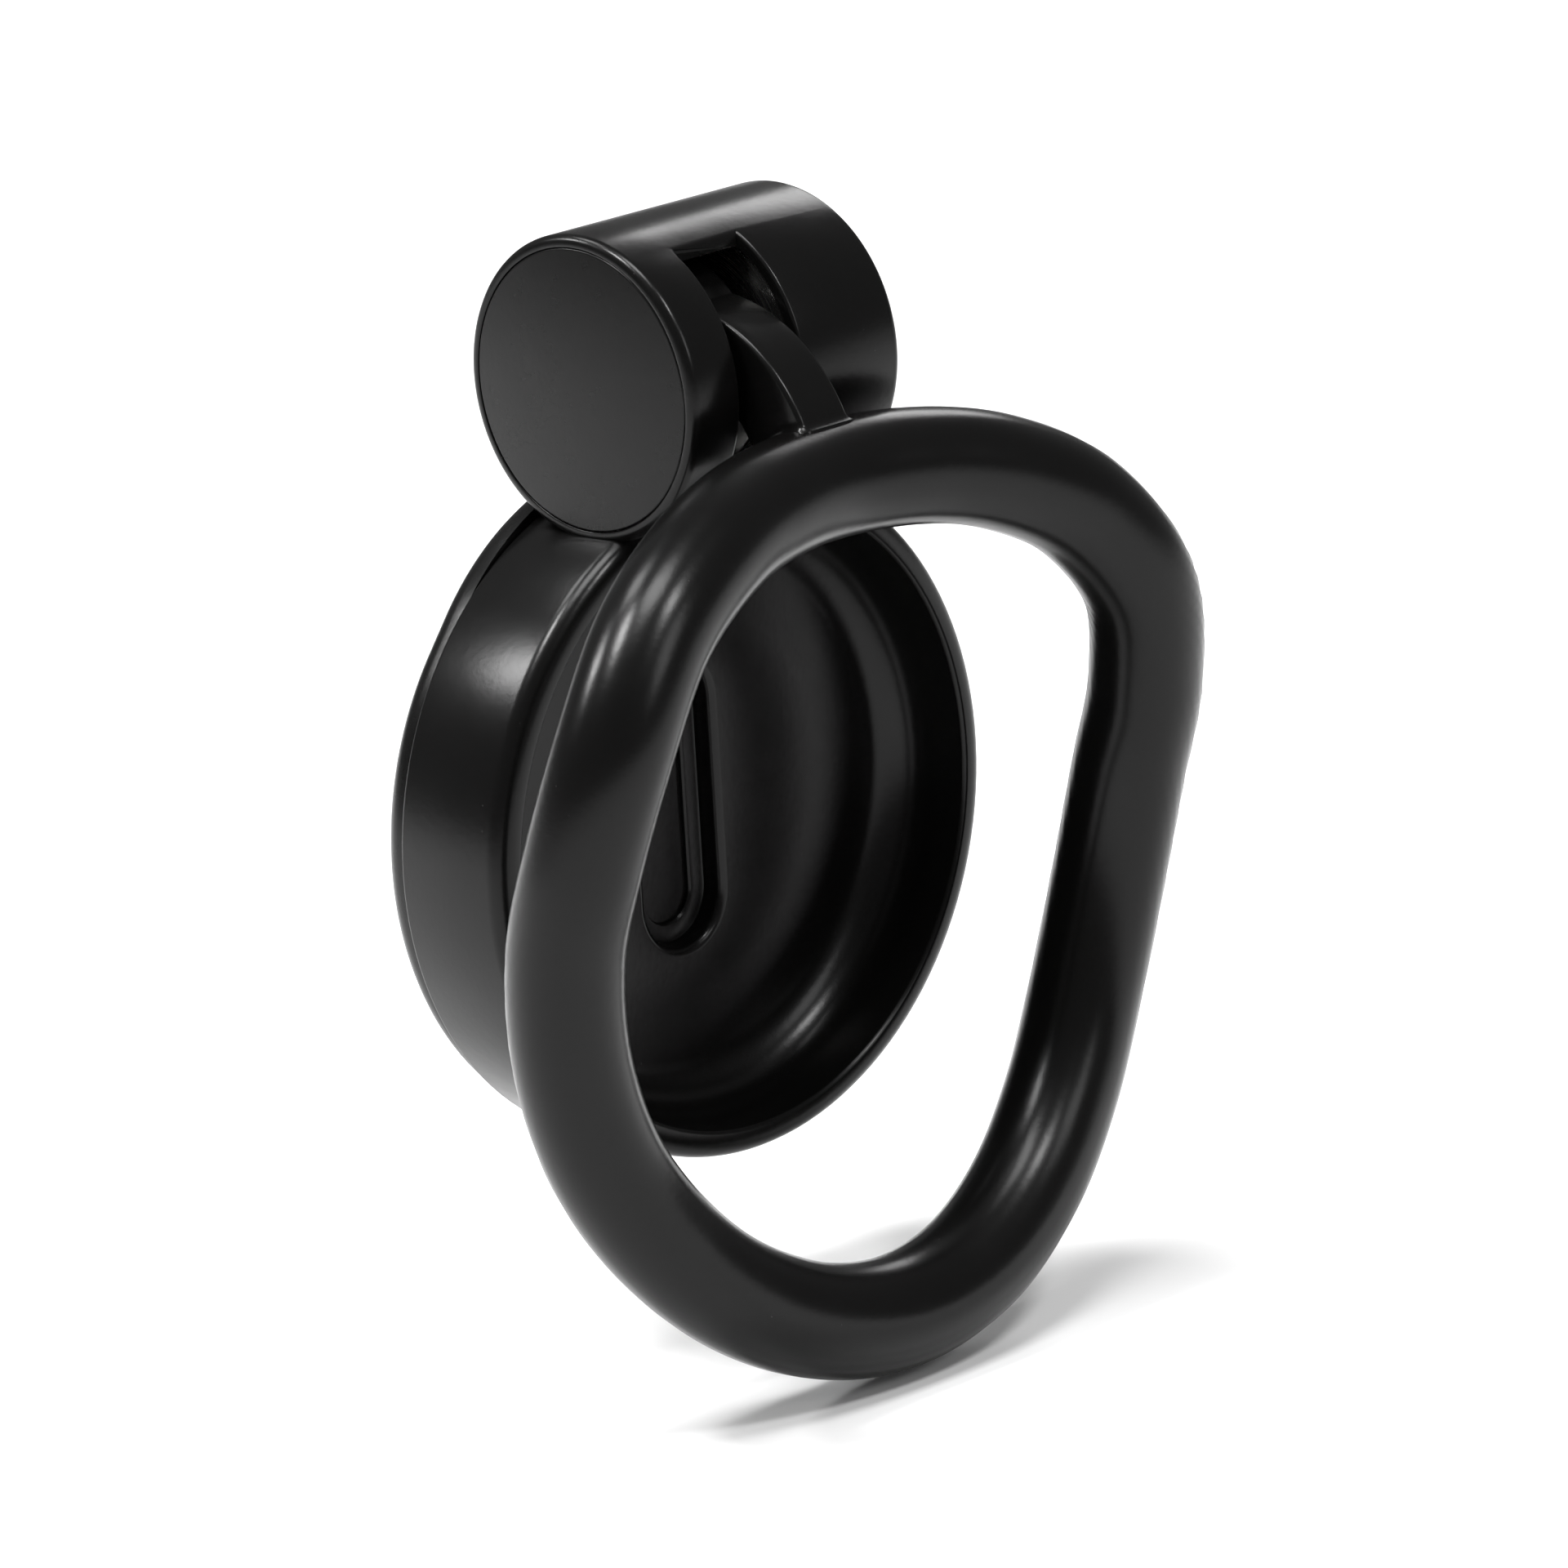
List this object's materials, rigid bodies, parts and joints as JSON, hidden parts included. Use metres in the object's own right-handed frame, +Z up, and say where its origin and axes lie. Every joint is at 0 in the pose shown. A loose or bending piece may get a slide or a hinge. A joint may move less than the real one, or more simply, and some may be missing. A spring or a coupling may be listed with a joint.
{
  "type": "locking ring assembly",
  "caption": "Bowed bar ring whose flat tongue hooks into a cross barrel with a key lock in one end; the barrel carries a shallow slotted dish and pivots on the tongue.",
  "frame": {"origin": "centre of the ring opening, on the mean plane of the ring's bar", "axes": "+Z up, from the ring opening to the barrel; +X along the barrel towards the lock face; +Y from the ring towards the dish and its cover"},
  "size_m": [0.0598, 0.032, 0.0738],
  "materials": {
    "black_ring": "satin black coating",
    "black_body": "satin black coating",
    "black_cover": "satin black coating",
    "end_insert": "satin black coating",
    "nickel": "satin nickel plate",
    "steel": "machined",
    "brass": "stamped",
    "spring_steel": "drawn wire"
  },
  "bodies": {
    "ring": {"base_ring": "black_ring", "ring_tongue": "black_ring"},
    "cage": {"lock_barrel": "black_body", "end_cap": "end_insert", "slotted_dish": "black_body", "front_cover": "black_cover", "lock_shell": "nickel"},
    "plug": {"key_plug": "nickel", "locking_shaft": "steel", "shaft_pin": "steel", "plug_clip": "spring_steel", "wafer_spring_1": "spring_steel", "wafer_spring_2": "spring_steel", "wafer_spring_3": "spring_steel", "wafer_spring_4": "spring_steel"},
    "wafer_a": {"wafer_1": "brass"},
    "wafer_b": {"wafer_2": "brass"},
    "wafer_c": {"wafer_3": "brass"},
    "wafer_d": {"wafer_4": "brass"}
  },
  "joints": [
    {"name": "cage_swing", "type": "hinge", "parent": "ring", "child": "cage", "pos_m": [0, 0.015, 0.033], "axis": [1, 0, 0], "range_deg": [-7, 30]},
    {"name": "plug_turn", "type": "hinge", "parent": "cage", "child": "plug", "pos_m": [0, 0.015, 0.033], "axis": [1, 0, 0], "range_deg": [0, 90]},
    {"name": "wafer_slide_1", "type": "slide", "parent": "plug", "child": "wafer_a", "axis": [0, 0, -1], "range_m": [0, 0.0005], "stiffness_N_per_m": 40, "deforming": ["wafer_spring_1"]},
    {"name": "wafer_slide_2", "type": "slide", "parent": "plug", "child": "wafer_b", "axis": [0, 0, -1], "range_m": [0, 0.0005], "stiffness_N_per_m": 40, "deforming": ["wafer_spring_2"]},
    {"name": "wafer_slide_3", "type": "slide", "parent": "plug", "child": "wafer_c", "axis": [0, 0, -1], "range_m": [0, 0.0005], "stiffness_N_per_m": 40, "deforming": ["wafer_spring_3"]},
    {"name": "wafer_slide_4", "type": "slide", "parent": "plug", "child": "wafer_d", "axis": [0, 0, -1], "range_m": [0, 0.0005], "stiffness_N_per_m": 40, "deforming": ["wafer_spring_4"]}
  ]
}
